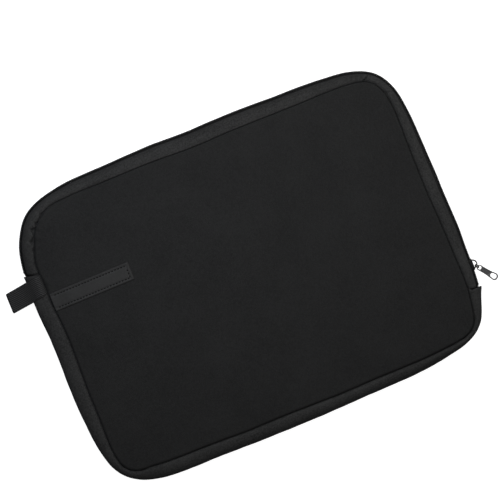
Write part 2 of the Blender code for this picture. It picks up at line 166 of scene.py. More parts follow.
ZIP_START = arc_of(math.atan2(ZIP_RIGHT_Y, side_x(ZIP_RIGHT_Y)))
ZIP_END = arc_of(math.atan2(ZIP_LEFT_Y, -side_x(ZIP_LEFT_Y)))
LOOP_ROOT = arc_of(math.atan2(LOOP_Y, -side_x(LOOP_Y)))
CORNERS = {name: arc_of(math.atan2(sy * HALF_W, sx * HALF_L) % (2 * math.pi))
           for name, sx, sy in (("top_right", 1, 1), ("top_left", -1, 1),
                                ("low_left", -1, -1), ("low_right", 1, -1))}

# Where the gusset is gathered on to the seam: (arc, strength, reach)
GATHERS = ((CORNERS["top_left"] + 17, 1.0, 17), (CORNERS["top_left"] - 14, 0.3, 10),
           (CORNERS["top_right"], 0.15, 30), (CORNERS["low_left"], 0.12, 30),
           (CORNERS["low_right"], 0.2, 30), (ZIP_END + 2.0, 0.3, 12))
# Where the seam gapes beside the gathers and at the hang loop's root
GAPES = ((CORNERS["top_left"] + 22, 0.5, 20), (LOOP_ROOT, 1.5, 9))


def turned(height):
    """The same height, measured down from the front face instead of up from the back."""
    return THICK - height


class Stations:
    """Even steps along the outline."""

    def __init__(self, start, end, step):
        count = max(2, round((end - start) / step))
        closed = end - start > PERIMETER - 1e-6
        self.arc = np.linspace(start, end, count + (not closed), endpoint=not closed)
        angles = np.interp(self.arc, TABLE_ARC, TABLE_ANGLES)
        self.points, self.normals = outline(angles)
        self.points = self.points - self.normals * sag(self.arc)[:, None]

    def place(self, inset, height, shift=None):
        """World points for arrays of inset and height, one row per station."""
        points, normals = self.points[:, None, :], self.normals[:, None, :]
        if shift is not None:
            along = np.stack([-self.normals[:, 1], self.normals[:, 0]], 1)
            points = points + along[:, None, :] * shift[:, :, None]
        flat = points - normals * inset[:, :, None]
        return np.concatenate([flat, height[:, :, None]], 2)


# ---- soft variation

def hum(values, seed, wavelength):
    """Smooth, repeatable variation from -1 to 1 along a length."""
    rng = np.random.default_rng(seed)
    total = np.zeros_like(values, dtype=float)
    weight = 0.0
    for i in range(3):
        turns = max(1, round(PERIMETER / wavelength * 1.7 ** i))
        total += 0.6 ** i * np.sin(2 * math.pi * turns * values / PERIMETER + rng.uniform(0, 6.28))
        weight += 0.6 ** i
    return total / weight


def near(values, centre, reach):
    """1 at an arc, falling to 0 over a reach."""
    gap = (values - centre + PERIMETER / 2) % PERIMETER - PERIMETER / 2
    return np.exp(-(gap / reach) ** 2)


def ring_curve(arc, knots):
    """Smooth closed curve through knots of (arc, value)."""
    places = np.array([k[0] for k in knots], float)
    values = np.array([k[1] for k in knots], float)
    places = np.concatenate([places - PERIMETER, places, places + PERIMETER])
    values = np.tile(values, 3)
    slopes = np.gradient(values, places)
    at = np.mod(arc, PERIMETER)
    i = np.clip(np.searchsorted(places, at, side="right") - 1, 0, len(places) - 2)
    span = places[i + 1] - places[i]
    t = (at - places[i]) / span
    return ((2 * t ** 3 - 3 * t ** 2 + 1) * values[i] + (t ** 3 - 2 * t ** 2 + t) * span * slopes[i]
            + (3 * t ** 2 - 2 * t ** 3) * values[i + 1] + (t ** 3 - t ** 2) * span * slopes[i + 1])


def sag(arc):
    """How far the soft rim lies inside the designed outline."""
    return ring_curve(arc, RIM_SAG) - RIM_SWELL


def seam_inset(arc):
    """How far in from the rim the panel's seam lies: less at the corners, where the panel is less round."""
    return ring_curve(arc, SEAM_INSETS) + RIM_SWELL + 0.12 * hum(arc, 3, 50.0) + 0.6 * ease(arc)


def gusset_seam(arc):
    """Where the gusset meets the panel: notched by its gathers, and once beside the top right corner."""
    notch = (1 - np.abs(np.sin(gather_phase(arc) / 2))) ** 1.2
    return seam_inset(arc) - NOTCH_DEPTH * ease(arc) * notch - KINK_DEPTH * near(arc, KINK, 2.2)


def bumps(arc, places):
    """Sum of smooth bumps, each given by its arc, strength and reach."""
    return sum(strength * near(arc, place, reach) for place, strength, reach in places)


def ease(arc):
    """How strongly the gusset is gathered on to the seam."""
    return bumps(arc, GATHERS)


def gather_phase(arc):
    return 2 * math.pi * arc / GATHER_PITCH + 1.3 * hum(arc, 11, 45.0)


def gather(arc):
    """Height of the puckers beside the seam."""
    lobes = 2.0 * np.abs(np.sin(gather_phase(arc) / 2)) - 1.2
    return (0.75 * ease(arc) + 0.04) * lobes


# ---- meshes

def add_object(name, data):
    obj = bpy.data.objects.new(name, data)
    bpy.context.collection.objects.link(obj)
    return obj


def object_from_bmesh(name, bm, mat, mesh=None, smooth=35.0):
    """Object from a bmesh, which is freed: smooth but where its faces meet sharply."""
    mesh = mesh or bpy.data.meshes.new(name)
    bm.to_mesh(mesh)
    bm.free()
    mesh.materials.append(mat)
    mesh.shade_smooth()
    mesh.set_sharp_from_angle(angle=math.radians(smooth))
    return add_object(name, mesh)


def mesh_object(name, verts, faces, mat, uvs=None, smooth=40.0):
    """Object from points in millimetres, with its faces turned out."""
    mesh = bpy.data.meshes.new(name)
    mesh.from_pydata((np.asarray(verts, float) * MM).tolist(), [], faces)
    if uvs is not None:
        layer = mesh.uv_layers.new(name="weave")
        index = np.zeros(len(mesh.loops), int)
        mesh.loops.foreach_get("vertex_index", index)
        layer.data.foreach_set("uv", (np.asarray(uvs, float) * MM)[index].ravel())
    bm = bmesh.new()
    bm.from_mesh(mesh)
    bmesh.ops.recalc_face_normals(bm, faces=bm.faces)
    return object_from_bmesh(name, bm, mat, mesh, smooth)


def quads(start, end):
    """Faces between rings of vertex numbers, from each row of start to the same row of end."""
    return np.stack([start, np.roll(start, -1, 1), np.roll(end, -1, 1), end], -1).reshape(-1, 4).tolist()


def grid_object(name, grid, mat, rows_close=False, smooth=40.0):
    """Skin over a grid of points: rows along the piece, columns round it."""
    rows, cols = grid.shape[:2]
    index = np.arange(rows * cols).reshape(rows, cols)
    if rows_close:
        faces = quads(index, np.roll(index, -1, 0))
    else:
        faces = quads(index[:-1], index[1:]) + [index[0, ::-1].tolist(), index[-1].tolist()]
    run = np.concatenate([[0.0], np.cumsum(np.linalg.norm(np.diff(grid[:, 0], axis=0), axis=1))])
    girth = np.linalg.norm(np.diff(grid, axis=1), axis=2)
    across = np.concatenate([np.zeros((rows, 1)), np.cumsum(girth, axis=1)], 1)
    uvs = np.stack([np.repeat(run[:, None], cols, 1), across], -1).reshape(-1, 2)
    return mesh_object(name, grid.reshape(-1, 3), faces, mat, uvs, smooth)


def curve_through(points, per_span):
    """Catmull-Rom curve through points, as an array."""
    pts = np.asarray(points, float)
    padded = np.concatenate([[2 * pts[0] - pts[1]], pts, [2 * pts[-1] - pts[-2]]])
    out = []
    for i in range(len(pts) - 1):
        a, b, c, d = padded[i:i + 4]
        for t in np.linspace(0, 1, per_span, endpoint=False):
            out.append(0.5 * (2 * b + (c - a) * t + (2 * a - 5 * b + 4 * c - d) * t ** 2
                              + (3 * b - 3 * c + d - a) * t ** 3))
    return np.array(out + [pts[-1]])


def side_of(line):
    """Unit normals of a curve in a plane, on its left."""
    direction = np.gradient(line, axis=0)
    return np.stack([-direction[:, 1], direction[:, 0]], 1) / np.linalg.norm(direction, axis=1)[:, None]


def plate_object(name, outer, holes, wall, mat, bevel=0.0):
    """Flat plate in the XY plane with holes and rounded edges, centred on z = 0."""
    bm = bmesh.new()
    for loop in [outer] + holes:
        verts = [bm.verts.new((x * MM, y * MM, -wall / 2 * MM)) for x, y in loop]
        for a, b in zip(verts, verts[1:] + verts[:1]):
            bm.edges.new((a, b))
    bmesh.ops.triangle_fill(bm, use_beauty=True, edges=bm.edges)
    copy = bmesh.ops.extrude_face_region(bm, geom=bm.faces[:], use_keep_orig=True)
    top = [v for v in copy["geom"] if isinstance(v, bmesh.types.BMVert)]
    bmesh.ops.translate(bm, verts=top, vec=(0, 0, wall * MM))
    bmesh.ops.recalc_face_normals(bm, faces=bm.faces)
    obj = object_from_bmesh(name, bm, mat)
    if bevel:
        edge = obj.modifiers.new("edges", "BEVEL")
        edge.width = bevel * MM
        edge.segments = 3
        edge.limit_method = "ANGLE"
        edge.angle_limit = math.radians(50)
    return obj


def finish_piece(obj, replaced, body=None):
    """Hands a piece to the frame: with a body it is parented to that body's empty, without one its
    transform is baked into its mesh. Either way the CAD parts it replaces are hidden.
    """
    if body:
        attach(obj, body)
    else:
        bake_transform(obj)
    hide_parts(*replaced)


# ---- materials

class Shader:
    """A Principled material with helpers that keep its node code short."""

    def __init__(self, name, colour, roughness, metallic=0.0, specular=0.5):
        self.colour = colour
        self.mat = bpy.data.materials.new(name)
        self.mat.use_nodes = True
        self.tree = self.mat.node_tree
        self.surface = self.tree.nodes["Principled BSDF"]
        self.set(self.surface, **{"Base Color": (*colour, 1.0), "Roughness": roughness,
                                  "Metallic": metallic, "Specular IOR Level": specular})

    def set(self, node, **values):
        for key, value in values.items():
            if isinstance(value, bpy.types.NodeSocket):
                self.tree.links.new(value, node.inputs[key])
            else:
                node.inputs[key].default_value = value
        return node

    def node(self, kind, **values):
        return self.set(self.tree.nodes.new("ShaderNode" + kind), **values)

    def coords(self, which="Object"):
        return self.tree.nodes.new("ShaderNodeTexCoord").outputs[which]

    def mapping(self, vector, scale=(1, 1, 1), rotation=(0, 0, 0)):
        return self.node("Mapping", Vector=vector, Scale=scale, Rotation=rotation).outputs["Vector"]

    def noise(self, vector, scale, detail=3.0, rough=0.5):
        node = self.node("TexNoise", Vector=vector, Scale=scale, Detail=detail, Roughness=rough)
        return node.outputs["Fac"]

    def cells(self, vector, scale, feature="F1"):
        node = self.node("TexVoronoi", Vector=vector, Scale=scale)
        node.feature = feature
        return node.outputs["Distance"]

    def bands(self, vector, pitch, direction="X", distortion=0.0):
        """Ribs at a pitch in metres; the wave texture's own pitch is 0.314 over its scale."""
        node = self.node("TexWave", Vector=vector, Scale=0.314 / pitch, Distortion=distortion)
        node.bands_direction = direction
        return node.outputs["Fac"]

    def math(self, operation, a, b=0.0):
        node = self.tree.nodes.new("ShaderNodeMath")
        node.operation = operation
        for socket, value in zip(node.inputs, (a, b)):
            if isinstance(value, bpy.types.NodeSocket):
                self.tree.links.new(value, socket)
            else:
                socket.default_value = value
        return node.outputs[0]

    def ramp(self, fac, low, high, start=0.0, end=1.0):
        """Maps a factor from start..end to the range low..high."""
        return self.node("MapRange", **{"Value": fac, "From Min": start, "From Max": end,
                                        "To Min": low, "To Max": high}).outputs["Result"]

    def tint(self, fac, dark, light):
        """Base colour between a darker and a lighter multiple of the material's colour."""
        node = self.tree.nodes.new("ShaderNodeMix")
        node.data_type = "RGBA"
        self.tree.links.new(fac, node.inputs["Factor"])
        for socket, factor in (("A", dark), ("B", light)):
            node.inputs[socket].default_value = (*(c * factor for c in self.colour), 1.0)
        self.tree.links.new(node.outputs["Result"], self.surface.inputs["Base Color"])

    def bump(self, height, distance, strength=1.0):
        """Adds a bump layer; later layers build on earlier ones."""
        node = self.node("Bump", Height=height, Distance=distance, Strength=strength)
        previous = self.surface.inputs["Normal"].links
        if previous:
            self.tree.links.new(previous[0].from_socket, node.inputs["Normal"])
        self.tree.links.new(node.outputs["Normal"], self.surface.inputs["Normal"])

    def roughness(self, value):
        self.tree.links.new(value, self.surface.inputs["Roughness"])


def knit_material(name, colour, stitch=0.9, contrast=0.34):
    """Fine jersey: columns of small loops, with a faint brushed nap and lint."""
    s = Shader(name, colour, 0.85, specular=0.1)
    place = s.coords()
    loops = s.cells(s.mapping(place, scale=(1.0, 1.45, 1.0)), 1000.0 / stitch)
    ribs = s.bands(place, stitch / 1000.0, "X", 0.6)
    weave = s.math("ADD", s.math("MULTIPLY", loops, 0.7), s.math("MULTIPLY", ribs, 0.3))
    cloud = s.noise(place, 28.0, 4.0, 0.6)
    grain = s.noise(place, 650.0, 2.0)
    fuzz = s.math("ADD", s.math("MULTIPLY", cloud, 0.25), s.math("MULTIPLY", grain, 0.45))
    tone = s.math("ADD", fuzz, s.math("MULTIPLY", weave, 0.35))
    s.tint(s.ramp(tone, 0.0, 1.0, 0.35, 0.65), 1 - contrast, 1 + contrast)
    s.bump(s.noise(place, 160.0, 3.0), 0.00025, 0.5)
    s.bump(weave, 0.00022, 0.7)
    s.set(s.surface, **{"Sheen Weight": 0.02, "Sheen Roughness": 0.5, "Sheen Tint": (0.8, 0.85, 0.9, 1.0)})
    return s.mat


def webbing_material(name, colour):
    """Twill webbing: diagonal ribs crossed by fine picks."""
    s = Shader(name, colour, 0.75, specular=0.2)
    place = s.coords("UV")
    twill = s.bands(s.mapping(place, rotation=(0, 0, math.radians(38))), 0.0016, "X", 0.3)
    picks = s.bands(place, 0.0009)
    height = s.math("ADD", s.math("MULTIPLY", twill, 0.8), s.math("MULTIPLY", picks, 0.2))
    s.tint(height, 0.05, 2.4)
    s.bump(height, 0.0006, 0.9)
    return s.mat


def tape_material(name, colour):
    """Woven zip tape: narrow ribs along its length, crossed by weft."""
    s = Shader(name, colour, 0.8, specular=0.15)
    place = s.coords("UV")
    ribs = s.bands(place, 0.0008, "Y")
    weft = s.bands(place, 0.0006)
    height = s.math("MULTIPLY", ribs, s.math("ADD", weft, 0.4))
    s.tint(height, 0.7, 1.2)
    s.bump(height, 0.0002, 0.7)
    return s.mat


def nylon_material(name, colour):
    s = Shader(name, colour, 0.42, specular=0.4)
    s.roughness(s.ramp(s.noise(s.coords(), 600.0), 0.35, 0.5))
    return s.mat


def leather_material(name, colour):
    """Smooth synthetic leather with a fine pebble and a soft gloss."""
    s = Shader(name, colour, 0.6, specular=0.16)
    place = s.coords()
    pebble = s.cells(place, 1500.0, "SMOOTH_F1")
    crease = s.noise(place, 420.0, 5.0, 0.6)
    s.tint(s.ramp(s.noise(place, 90.0, 4.0), 0.0, 1.0, 0.3, 0.7), 0.88, 1.12)
    s.roughness(s.ramp(crease, 0.5, 0.66, 0.3, 0.7))
    s.bump(crease, 0.00012, 0.4)
    s.bump(pebble, 0.00008, 0.5)
    return s.mat


def metal_material(name, colour):
    """Dark-plated zinc, with faint tumbling marks."""
    s = Shader(name, colour, 0.34, metallic=1.0)
    place = s.coords()
    s.tint(s.ramp(s.noise(place, 700.0, 3.0), 0.0, 1.0, 0.3, 0.7), 0.8, 1.15)
    s.roughness(s.ramp(s.noise(place, 1400.0, 2.0), 0.28, 0.44))
    s.bump(s.noise(place, 2200.0, 2.0), 0.00004, 0.3)
    return s.mat


def near_black_material(name, colour):
    """Near-black surface over cast metal, much darker than the pull, for the slider, its stops and its link.
    """
    s = Shader(name, colour, 0.5, specular=0.12)
    s.roughness(s.ramp(s.noise(s.coords(), 900.0, 3.0), 0.42, 0.6))
    s.bump(s.noise(s.coords(), 1500.0, 2.0), 0.00005, 0.3)
    return s.mat


def foam_material(name, colour):
    s = Shader(name, colour, 0.9, specular=0.2)
    s.bump(s.cells(s.coords(), 1800.0), 0.0002, 0.7)
    return s.mat


def thread_material(name, colour):
    """Twisted thread."""
    s = Shader(name, colour, 0.7, specular=0.1)
    s.bump(s.bands(s.coords(), 0.0004, "DIAGONAL"), 0.0001, 0.6)
    return s.mat


# ---- panels

def shoulder(distance, width, depth):
    """Drop of a panel's or gusset's surface towards the seam."""
    t = np.clip(distance / width, 0.0, 1.0)
    return depth * (1.0 - t) ** 2.4


def panel_crown(x, y):
    """Loft of the padded face above its seam, with slow unevenness."""
    u, v = x / (HALF_L - SEAM_INSET), y / (HALF_W - SEAM_INSET)
    dome = (1 - np.clip(np.abs(u), 0, 1) ** 4) * (1 - np.clip(np.abs(v), 0, 1) ** 4)
    sway = (np.sin(x / 47.0 + 0.6) * np.cos(y / 39.0 - 0.4) + 0.6 * np.sin((x + 1.4 * y) / 31.0 + 2.0)
            + 0.35 * np.sin((x * 0.8 - y) / 17.0))
    return dome * (0.35 + 0.14 * sway)


def inflate_panel():
    """Cloth simulation of the stuffed face; returns its loft as a function of place."""
    ring = Stations(0.0, PERIMETER, 12.0)
    inset = (seam_inset(ring.arc) + 2.0)[:, None]
    edge = ring.place(inset, np.zeros_like(inset))[:, 0]
    count = len(edge)
    verts = np.concatenate([edge + (0, 0, PAD_THICKNESS / 2), edge - (0, 0, PAD_THICKNESS / 2)])
    top, low = np.arange(count), np.arange(count, 2 * count)
    faces = [top.tolist(), low[::-1].tolist()]
    faces += quads(low[None], top[None])
    pad = mesh_object("pad_being_filled", verts, faces, bpy.data.materials["knit_face"])
    remesh = pad.modifiers.new("voxels", "REMESH")
    remesh.mode = "VOXEL"
    remesh.voxel_size = PAD_VOXEL * MM
    bpy.context.view_layer.objects.active = pad
    bpy.ops.object.modifier_apply(modifier=remesh.name)
    flat = np.zeros(len(pad.data.vertices) * 3)
    pad.data.vertices.foreach_get("co", flat)
    start = flat.reshape(-1, 3).copy()
    cloth = pad.modifiers.new("filling", "CLOTH")
    cloth.settings.use_pressure = True
    cloth.settings.uniform_pressure_force = 4.0
    cloth.settings.tension_stiffness = 40.0
    cloth.settings.bending_stiffness = 2.0
    cloth.settings.effector_weights.gravity = 0.0
    for step in range(1, 21):
        bpy.context.scene.frame_set(step)
    bpy.ops.object.modifier_apply(modifier=cloth.name)
    pad.data.vertices.foreach_get("co", flat)
    end = flat.reshape(-1, 3)
    bpy.context.scene.frame_set(1)
    rise = np.clip((end - start)[:, 2] / MM, 0.0, PAD_CAP)
    is_top = start[:, 2] > 0
    places, rises = start[is_top, :2] / MM, rise[is_top]
    bpy.data.objects.remove(pad)
    tree = KDTree(len(places))
    for i, (x, y) in enumerate(places):
        tree.insert((x, y, 0.0), i)
    tree.balance()

    def loft(x, y):
        out = np.zeros(x.shape)
        for at in np.ndindex(*x.shape):
            found = tree.find_n((x[at], y[at], 0.0), 6)
            weights = [1 / (0.5 + distance) ** 2 for _, _, distance in found]
            out[at] = sum(w * rises[i] for w, (_, i, _) in zip(weights, found)) / sum(weights)
        return 0.35 * panel_crown(x, y) + PAD_LOFT * out / max(rises.max(), 1e-6)
    return loft


def panel_rings(loft):
    """Rings of points from the seam to the middle of the front panel."""
    ring = Stations(0.0, PERIMETER, 1.4)
    seam = seam_inset(ring.arc)
    pucker, wide = gather(ring.arc), bumps(ring.arc, GAPES)
    steep = ring.normals @ STEEP_SIDE
    width = PANEL_ROLL * (1 + wide - 0.45 * steep)
    depth = PANEL_DROP * (1 + 0.27 * wide + 0.25 * steep)
    rings = []
    for out in (0.0, 0.3, 0.7, 1.2, 1.8, 2.5, 3.4, 4.6, 6.2, 8.5, 11.5, 15.5, 20.5):
        inset = (seam + out)[:, None]
        points = ring.place(inset, np.zeros_like(inset))[:, 0, :2]
        fade = math.exp(-(out / 6.0) ** 2)
        rings.append((points, pucker * fade * 0.8 - shoulder(out, width, depth)))
    edge = rings[-1][0]
    rings += [(edge * (1 - k / 25.6), np.zeros(len(edge))) for k in range(1, 26)]
    grid = []
    for points, drop in rings:
        height = THICK + drop + loft(points[:, 0], points[:, 1])
        grid.append(np.concatenate([points, height[:, None]], 1))
    return np.array(grid)


def sheet_from_rings(name, grid, wall, mat, side):
    """Closed sheet: the rings' surface, and the same surface moved in by the wall."""
    rings, count = grid.shape[:2]
    inner = grid.copy()
    inner[:, :, 2] -= side * wall
    top = np.arange(rings * count).reshape(rings, count)
    low = top + rings * count
    faces = quads(low[:1], top[:1])
    for index in (top, low):
        faces += quads(index[:-1], index[1:])
        faces.append(index[-1].tolist())
    verts = np.concatenate([grid.reshape(-1, 3), inner.reshape(-1, 3)])
    return mesh_object(name, verts, faces, mat, uvs=verts[:, :2])


def flat_panel(beyond, height, ripple=0.0):
    """Rings of a plain layer of the laminate, its edge a little beyond the seam."""
    ring = Stations(0.0, PERIMETER, 6.0)
    rings = []
    for out in (0.0, 0.6, 1.6, 4.0, 9.0, 17.0):
        depth = (seam_inset(ring.arc) + beyond + out)[:, None]
        rings.append(ring.place(depth, np.full_like(depth, height))[:, 0])
    edge = rings[-1]
    for k in range(1, 22):
        shrink = 1 - k / 22.6
        rings.append(edge * (shrink, shrink, 1))
    grid = np.array(rings)
    grid[..., 2] += ripple * np.sin(grid[..., 0] / 23.0) * np.sin(grid[..., 1] / 19.0 + 1.0)
    return grid


def build_panels(mats, loft):
    back_face = panel_rings(lambda x, y: np.zeros_like(x))
    back_face[..., 2] = np.maximum(0.0, turned(back_face[..., 2]))
    layers = (
        ("front_face", panel_rings(loft), FACE_WALL, 1, "knit_face", "front_shell"),
        ("back_face", back_face, FACE_WALL, -1, "knit_face", "back_shell"),
        ("front_core", flat_panel(FOAM_EDGE, THICK - 1.4), FOAM_WALL, 1, "foam_core", "front_foam"),
        ("back_core", flat_panel(FOAM_EDGE, 1.4), FOAM_WALL, -1, "foam_core", "back_foam"),
        ("front_lining", flat_panel(1.4, THICK - 3.8, 0.08), LINING_WALL, 1, "lining_knit", "front_lining"),
        ("back_inner_lining", flat_panel(1.4, 4.4, 0.08), LINING_WALL, 1, "lining_knit", "back_lining"))
    for name, grid, wall, side, cloth, node in layers:
        sheet = sheet_from_rings(name, grid, wall, mats[cloth], side)
        if node.startswith("front"):
            finish_piece(sheet, (node + "_base", node + "_flap"))
        else:
            finish_piece(sheet, (node,), "sleeve")


# ---- gussets

def joint_shift(ring, across):
    """Slides points along the rim so that the ends of the gussets follow the joint lines."""
    right = np.interp(across, *zip(*JOINT_RIGHT)) * near(ring.arc, ZIP_START, 8)[:, None]
    left = np.interp(across, *zip(*JOINT_LEFT)) * near(ring.arc, ZIP_END, 8)[:, None]
    return right + left


def gusset_skin(ring, angles, edge, lift, dip=0.0):
    """Outer surface of a gusset: from the seam's roll round the bulge, as insets and heights."""
    seam, pucker = gusset_seam(ring.arc), gather(ring.arc)
    columns = [(seam_inset(ring.arc) + 1.0, THICK - SEAM_DEPTH - SEAM_TUCK + pucker)]
    for out in ROLLS:
        fade = math.exp(-(out / 5.0) ** 2)
        drop = shoulder(out, ROLL_WIDTH, SEAM_DEPTH)
        columns.append((seam - out, THICK - drop + pucker * fade + (lift - dip) * (0.5 + 0.3 * out)))
    reach = seam - SEAM_ROLL - edge
    for a in angles:
        fade = math.exp(-(min(a, math.pi - a) / 0.75) ** 2)
        side = math.copysign(1.0, math.cos(a))
        sink = side * shoulder(SEAM_ROLL + (THICK * 0.5) * min(a, math.pi - a), ROLL_WIDTH, SEAM_DEPTH)
        inset = seam - SEAM_ROLL - (reach + lift) * math.sin(a) ** SQUARENESS
        round_up = side * abs(math.cos(a)) ** SQUARENESS
        height = MID + (MID + lift - dip) * round_up - sink + side * pucker * fade * 0.9
        columns.append((inset, height))
    return seam, columns


def stack_columns(columns, rows):
    """Turns pairs of inset and height, each a number or one per station, into two grids."""
    return tuple(np.stack([np.broadcast_to(c[k], rows) for c in columns], 1) for k in (0, 1))


def pleat(ring, across, height):
    """One fold of the gusset at the top right corner, running out from the seam."""
    line = CORNERS["top_right"] + PLEAT_OFFSET - 0.5 * across
    gap = ring.arc[:, None] - line
    span = np.clip((9.5 - across) / 4.0, 0, 1) * (height > MID)
    step = np.where(gap < 0, np.exp(-(gap / 3.5) ** 2) * 0.6, 0.0)
    crease = -PLEAT_DEPTH * np.exp(-((gap - 0.4) / 0.75) ** 2)
    return height + span * (step + crease)


def rim_sway(arc):
    """Slow sway of the zip's tape, coil and hem."""
    return 0.25 * hum(arc, 5, 80.0)


def zip_side_grid(ring):
    """One half of the gusset along the zip: seam, bulge, hem at the tape, and its inner face."""
    past = np.maximum(ZIP_START - ring.arc, ring.arc - ZIP_END)
    tuck = TUCK_DROP / 2 * (1 + np.tanh((past + 1.6) / 0.5))
    lift = -0.15 - tuck + 0.12 * hum(ring.arc, 21, 30.0)
    angles = np.radians(np.linspace(4.0, ZIP_HEM_ANGLE, 16))
    edge = ZIP_EDGE + 0.9 * near(ring.arc, 70.0, 110.0) - rim_sway(ring.arc)
    seam, columns = gusset_skin(ring, angles, edge, lift)
    hem_in, hem_z = columns[-1]
    for inward, rise in ((0.25, -0.45), (0.8, -0.7), (1.4, -0.55), (1.75, 0.0)):
        columns.append((hem_in + inward, hem_z + rise))
    reach = seam - SEAM_ROLL - edge
    for a in angles[::-2]:
        columns.append((seam - 0.4 - (reach - 0.6) * math.sin(a), MID + (MID - GUSSET_WALL) * math.cos(a)))
    columns.append((seam - 0.1, THICK - GUSSET_WALL - SEAM_DEPTH + 1.5))
    inset, height = stack_columns(columns, len(seam))
    across = seam[:, None] - inset
    return inset, pleat(ring, across, height), joint_shift(ring, across)


def build_pair(piece, ring, profile, mat, node, halves, rows_close=False):
    """A piece of the front half, which spans the fold, and its mirror image on the back half."""
    inset, height, shift = profile
    front = grid_object("front_" + piece, ring.place(inset, height, shift), mat, rows_close)
    finish_piece(front, tuple("front_%s_%s" % (node, half) for half in halves))
    mirrored = np.maximum(0.0, turned(height))
    back = grid_object("back_" + piece, ring.place(inset, mirrored, shift), mat, rows_close)
    finish_piece(back, ("back_" + node,), "sleeve")


def build_gussets(mats):
    ring = Stations(ZIP_START - JOINT_TUCK, ZIP_END + JOINT_TUCK, GUSSET_STEP)
    fabric = mats["gusset_fabric"]
    build_pair("zip_side", ring, zip_side_grid(ring), fabric, "zip_gusset", ("flap", "end"))
    build_base_gusset(fabric)


def build_base_gusset(fabric):
    """Gusset of the closed stretch, from the front seam round the rim to the back seam."""
    ring = Stations(ZIP_END - PERIMETER, ZIP_START, GUSSET_STEP)
    inside = np.minimum(ZIP_START - ring.arc, ring.arc - ZIP_END + PERIMETER)
    folded_edge = 0.6 * np.exp(-(inside / 3.0) ** 2)
    dip = 0.5 * np.exp(-(inside / 0.9) ** 2)
    jut = 1.3 * near(ring.arc, ZIP_START, 7)
    lift = -0.15 + folded_edge + 0.12 * hum(ring.arc, 22, 30.0)
    seam, columns = gusset_skin(ring, np.radians(np.linspace(4.0, 176.0, 33)), -jut, lift, dip)
    pucker = gather(ring.arc)
    for out in ROLLS[::-1]:
        columns.append((seam - out, shoulder(out, ROLL_WIDTH, SEAM_DEPTH) - pucker))
    columns.append((seam_inset(ring.arc) + 1.0, SEAM_DEPTH + SEAM_TUCK - pucker))
    columns.append((seam - 0.1, GUSSET_WALL + SEAM_DEPTH - 1.5))
    for a in np.radians(np.linspace(170.0, 10.0, 17)):
        columns.append((seam - 0.4 - (seam - 2.9) * math.sin(a), MID + (MID - GUSSET_WALL) * math.cos(a)))
    columns.append((seam - 0.1, THICK - GUSSET_WALL - SEAM_DEPTH + 1.5))
    inset, height = stack_columns(columns, len(seam))
    shift = joint_shift(ring, seam[:, None] - inset)
    base = grid_object("base_side", ring.place(inset, np.maximum(height, 0.0), shift), fabric)
    finish_piece(base, ("base_gusset",), "sleeve")


# ---- zip

def build_zip(mats):
    ring = Stations(ZIP_START - 2.0, ZIP_END + 2.0, 1.4)
    line = [(2.6, MID + 0.5), (2.6, MID + 2.6), (3.1, MID + 4.0), (4.6, MID + 5.2), (7.5, MID + 7.8)]
    middle = curve_through(line, 3)
    side = side_of(middle) * TAPE_WALL / 2
    section = np.concatenate([middle + side, (middle - side)[::-1]])
    inset = section[None, :, 0] - rim_sway(ring.arc)[:, None] + end_tuck(ring.arc)[:, None]
    height = np.repeat(section[None, :, 1], len(ring.arc), 0)
    build_pair("tape", ring, (inset, height, None), mats["zip_tape"], "zip_tape", ("flap", "end"))
    for name, side, nodes, body in (("front_coil", 1, ("front_zip_coil_flap", "front_zip_coil_end"), None),
                                    ("back_coil", -1, ("back_zip_coil",), "sleeve")):
        finish_piece(coil_object(name, mats["zip_coil"], side), nodes, body)


def end_tuck(arc):
    """How far the zip turns in under the gussets at its two ends."""
    return 0.8 * near(arc, ZIP_START - 1.0, 3.0) + 1.0 * near(arc, ZIP_END + 1.0, 4.0)


def coil_object(name, mat, side):
    """Nylon filament wound into flat loops, one for each tooth; the other half's loops lie between."""
    start, end = ZIP_START - 1.5, ZIP_END + 1.5
    loops = round((end - start) / COIL_PITCH)
    steps = 10
    turn = np.linspace(0.0, 2 * math.pi * loops, loops * steps + 1)
    ring = Stations(start, end, (end - start) / (loops * steps))
    phase = turn + (0.0 if side > 0 else math.pi)
    inset = COIL_CENTRE[0] + COIL_RADII[0] * np.cos(phase) - rim_sway(ring.arc) + end_tuck(ring.arc)
    height = MID + side * (COIL_CENTRE[1] + COIL_RADII[1] * np.sin(phase))
    centre = ring.place(inset[:, None], height[:, None])[:, 0]
    along = np.gradient(centre, axis=0)
    along /= np.linalg.norm(along, axis=1)[:, None]
    out = np.column_stack([-ring.normals * np.cos(phase)[:, None], side * np.sin(phase)])
    out -= along * (out * along).sum(1)[:, None]
    out /= np.linalg.norm(out, axis=1)[:, None]
    other = np.cross(along, out)
    angles = (np.arange(6) * math.pi / 3)[None, :, None]
    rims = COIL_WIRE * (out[:, None] * np.cos(angles) + other[:, None] * np.sin(angles))
    return grid_object(name, centre[:, None] + rims, mat, smooth=80)


def stop_object(name, start, end, level, half_height, mat):
    """Rounded block crimped on the coil."""
    ring = Stations(start, end, (end - start) / 8)
    a = np.arange(16) * math.pi / 8
    section = np.stack([1.35 * np.sign(np.cos(a)) * np.abs(np.cos(a)) ** 0.6,
                        half_height * np.sign(np.sin(a)) * np.abs(np.sin(a)) ** 0.6], 1)
    ends = np.sqrt(np.clip(1 - np.abs(np.linspace(-1, 1, 9)) ** 6, 0.2, 1))[:, None]
    inset = 1.5 + section[None, :, 0] * ends + end_tuck(ring.arc)[:, None]
    height = level + section[None, :, 1] * ends
    return grid_object(name, ring.place(inset, height), mat)


